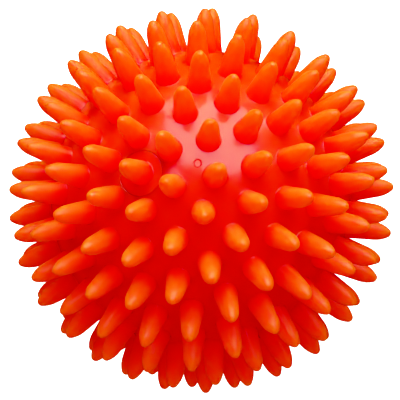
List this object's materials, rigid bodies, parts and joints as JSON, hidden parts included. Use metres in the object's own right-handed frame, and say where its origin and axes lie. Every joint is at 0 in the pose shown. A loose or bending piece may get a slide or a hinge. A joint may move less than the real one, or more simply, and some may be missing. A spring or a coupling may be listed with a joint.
{
  "type": "massage ball",
  "caption": "Hollow soft ball covered in rounded spikes set in rings, with a push-in stopper at one pole, for rolling under a hand, foot or back.",
  "frame": {"origin": "centre of the ball", "axes": "+Z along the axis that the rings of spikes are laid out around, out through the stopper; -Y faces the side that was seen"},
  "size_m": [0.0794, 0.0796, 0.08],
  "materials": {
    "pvc": "soft translucent orange-red PVC with a smooth, slightly wet gloss, deeper red between the spikes"
  },
  "bodies": {
    "ball": {"skin": "pvc", "mould_mark": "pvc", "spikes_ring_01": "pvc", "spikes_ring_02": "pvc", "spikes_ring_03": "pvc", "spikes_ring_04": "pvc", "spikes_ring_05": "pvc", "spikes_ring_06": "pvc", "spikes_ring_07": "pvc", "spikes_ring_08": "pvc", "spikes_ring_09": "pvc", "spikes_ring_10": "pvc", "spikes_ring_11": "pvc", "spikes_ring_12": "pvc", "spike_far_pole": "pvc"},
    "plug": {"stopper": "pvc"}
  },
  "joints": [
    {"name": "stopper_pull", "type": "slide", "parent": "ball", "child": "plug", "axis": [0, 0, 1], "range_m": [0, 0.018]}
  ]
}
